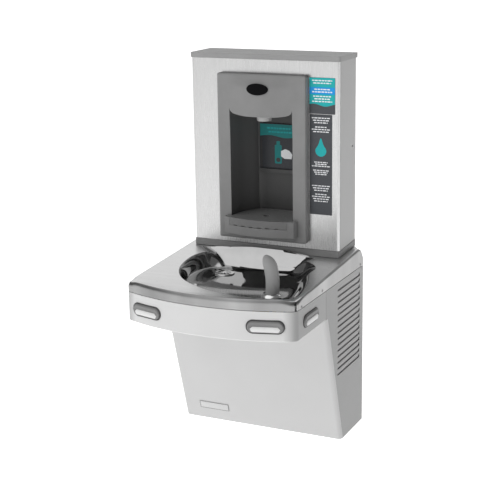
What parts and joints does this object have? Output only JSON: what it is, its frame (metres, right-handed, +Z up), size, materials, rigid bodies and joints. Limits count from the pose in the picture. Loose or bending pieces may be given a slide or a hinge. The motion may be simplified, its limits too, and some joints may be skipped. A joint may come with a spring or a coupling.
{
  "type": "wall hung water cooler with bottle filler",
  "caption": "Wall-hung drinking fountain: sloped sheet-steel cabinet, stainless basin with bubbler and push pads, and a bottle-filling tower with an open alcove above.",
  "frame": {"origin": "middle of the wall hanger bracket's back face, on the wall plane; it is 400 mm above the cabinet's bottom edge", "axes": "+Z up, -Y is the front that a user faces, +X to the right as seen from the front; the wall is the plane y = 0"},
  "size_m": [0.471, 0.499, 0.998],
  "materials": {
    "zinc_steel": "zinc coated sheet steel, matte",
    "side_paint": "mid grey baked enamel on sheet steel, semi gloss",
    "cabinet_steel": "light silver grey finish on sheet steel, satin",
    "nameplate_foil": "thin blank foil plate",
    "basin_steel": "satin stainless deck and skirt, polished bowl",
    "chrome_trim": "bright plated",
    "guard_rubber": "soft grey elastomer",
    "brass_fitting": "machined brass",
    "white_plastic": "moulded white plastic",
    "black_enamel": "black enamel",
    "copper_tube": "copper tube and fins",
    "black_plastic": "dark moulded plastic",
    "blue_tube": "blue water tube",
    "tower_steel": "vertically brushed stainless sheet",
    "grey_plastic": "grey moulded plastic, satin",
    "alcove_plastic": "grey moulded plastic, fine texture",
    "tray_plastic": "darker grey moulded plastic",
    "nozzle_plastic": "light grey moulded plastic",
    "sensor_plastic": "dark lens panel with a teal printed band",
    "badge_black": "black oval with a plain droplet",
    "label_print": "printed film with plain bars and a droplet",
    "spring_steel": "drawn wire",
    "pad_rubber": "soft grey moulding with a lighter inset"
  },
  "bodies": {
    "cabinet": {"wall_bracket": "zinc_steel", "chassis_back": "zinc_steel", "chassis_floor": "zinc_steel", "side_panel_left": "side_paint", "side_panel_right": "side_paint", "apron": "cabinet_steel", "front_access_panel": "cabinet_steel", "nameplate": "nameplate_foil", "basin": "basin_steel", "bubbler_base": "chrome_trim", "bubbler_guard": "guard_rubber", "bubbler_nozzle": "chrome_trim", "bubbler_shank": "brass_fitting", "drain_strainer": "chrome_trim", "drain_tailpiece": "chrome_trim", "waste_trap": "white_plastic", "compressor": "black_enamel", "condenser": "copper_tube", "fan_shroud": "black_plastic", "fan_motor": "black_enamel", "cold_tank": "white_plastic", "control_box": "black_plastic", "filter_head": "white_plastic", "inlet_valve": "brass_fitting", "bubbler_valve": "brass_fitting", "bubbler_tube": "blue_tube", "filler_valve": "brass_fitting", "filler_tube": "blue_tube", "tower_back_plate": "zinc_steel", "tower_front_panel": "tower_steel", "tower_side_left": "side_paint", "tower_side_right": "side_paint", "tower_top_cap": "grey_plastic", "tower_bottom_trim": "grey_plastic", "alcove_housing": "alcove_plastic", "drip_tray": "tray_plastic", "bottle_nozzle": "nozzle_plastic", "sensor_panel": "sensor_plastic", "badge": "badge_black", "label_upper": "label_print", "label_lower": "label_print", "pad_sleeve_front_left": "black_plastic", "pad_spring_front_left": "spring_steel", "pad_switch_front_left": "black_plastic", "pad_sleeve_front_right": "black_plastic", "pad_spring_front_right": "spring_steel", "pad_switch_front_right": "black_plastic", "pad_sleeve_side_left": "black_plastic", "pad_spring_side_left": "spring_steel", "pad_switch_side_left": "black_plastic", "pad_sleeve_side_right": "black_plastic", "pad_spring_side_right": "spring_steel", "pad_switch_side_right": "black_plastic"},
    "pad_front_left": {"push_pad_front_left": "pad_rubber"},
    "pad_front_right": {"push_pad_front_right": "pad_rubber"},
    "pad_side_left": {"push_pad_side_left": "pad_rubber"},
    "pad_side_right": {"push_pad_side_right": "pad_rubber"},
    "fan": {"fan_blade": "black_plastic"},
    "filter": {"filter_cartridge": "white_plastic"},
    "grille": {"drip_insert": "tray_plastic"}
  },
  "joints": [
    {"name": "press_front_left", "type": "slide", "parent": "cabinet", "child": "pad_front_left", "axis": [0.2647, 0.9643, 0], "range_m": [0, 0.004], "stiffness_N_per_m": 1500, "springref_m": -0.001, "deforming": ["pad_spring_front_left"]},
    {"name": "press_front_right", "type": "slide", "parent": "cabinet", "child": "pad_front_right", "axis": [-0.2647, 0.9643, 0], "range_m": [0, 0.004], "stiffness_N_per_m": 1500, "springref_m": -0.001, "deforming": ["pad_spring_front_right"]},
    {"name": "press_side_left", "type": "slide", "parent": "cabinet", "child": "pad_side_left", "axis": [1, 0, 0], "range_m": [0, 0.004], "stiffness_N_per_m": 1500, "springref_m": -0.001, "deforming": ["pad_spring_side_left"]},
    {"name": "press_side_right", "type": "slide", "parent": "cabinet", "child": "pad_side_right", "axis": [-1, 0, 0], "range_m": [0, 0.004], "stiffness_N_per_m": 1500, "springref_m": -0.001, "deforming": ["pad_spring_side_right"]},
    {"name": "fan_spin", "type": "hinge", "parent": "cabinet", "child": "fan", "pos_m": [0.182, -0.109, -0.11], "axis": [1, 0, 0], "continuous": true},
    {"name": "filter_twist", "type": "hinge", "parent": "cabinet", "child": "filter", "pos_m": [0.03, -0.06, -0.175], "axis": [0, 0, 1], "range_deg": [0, 90]},
    {"name": "grille_lift", "type": "slide", "parent": "cabinet", "child": "grille", "axis": [0, 0, 1], "range_m": [0, 0.06]}
  ]
}
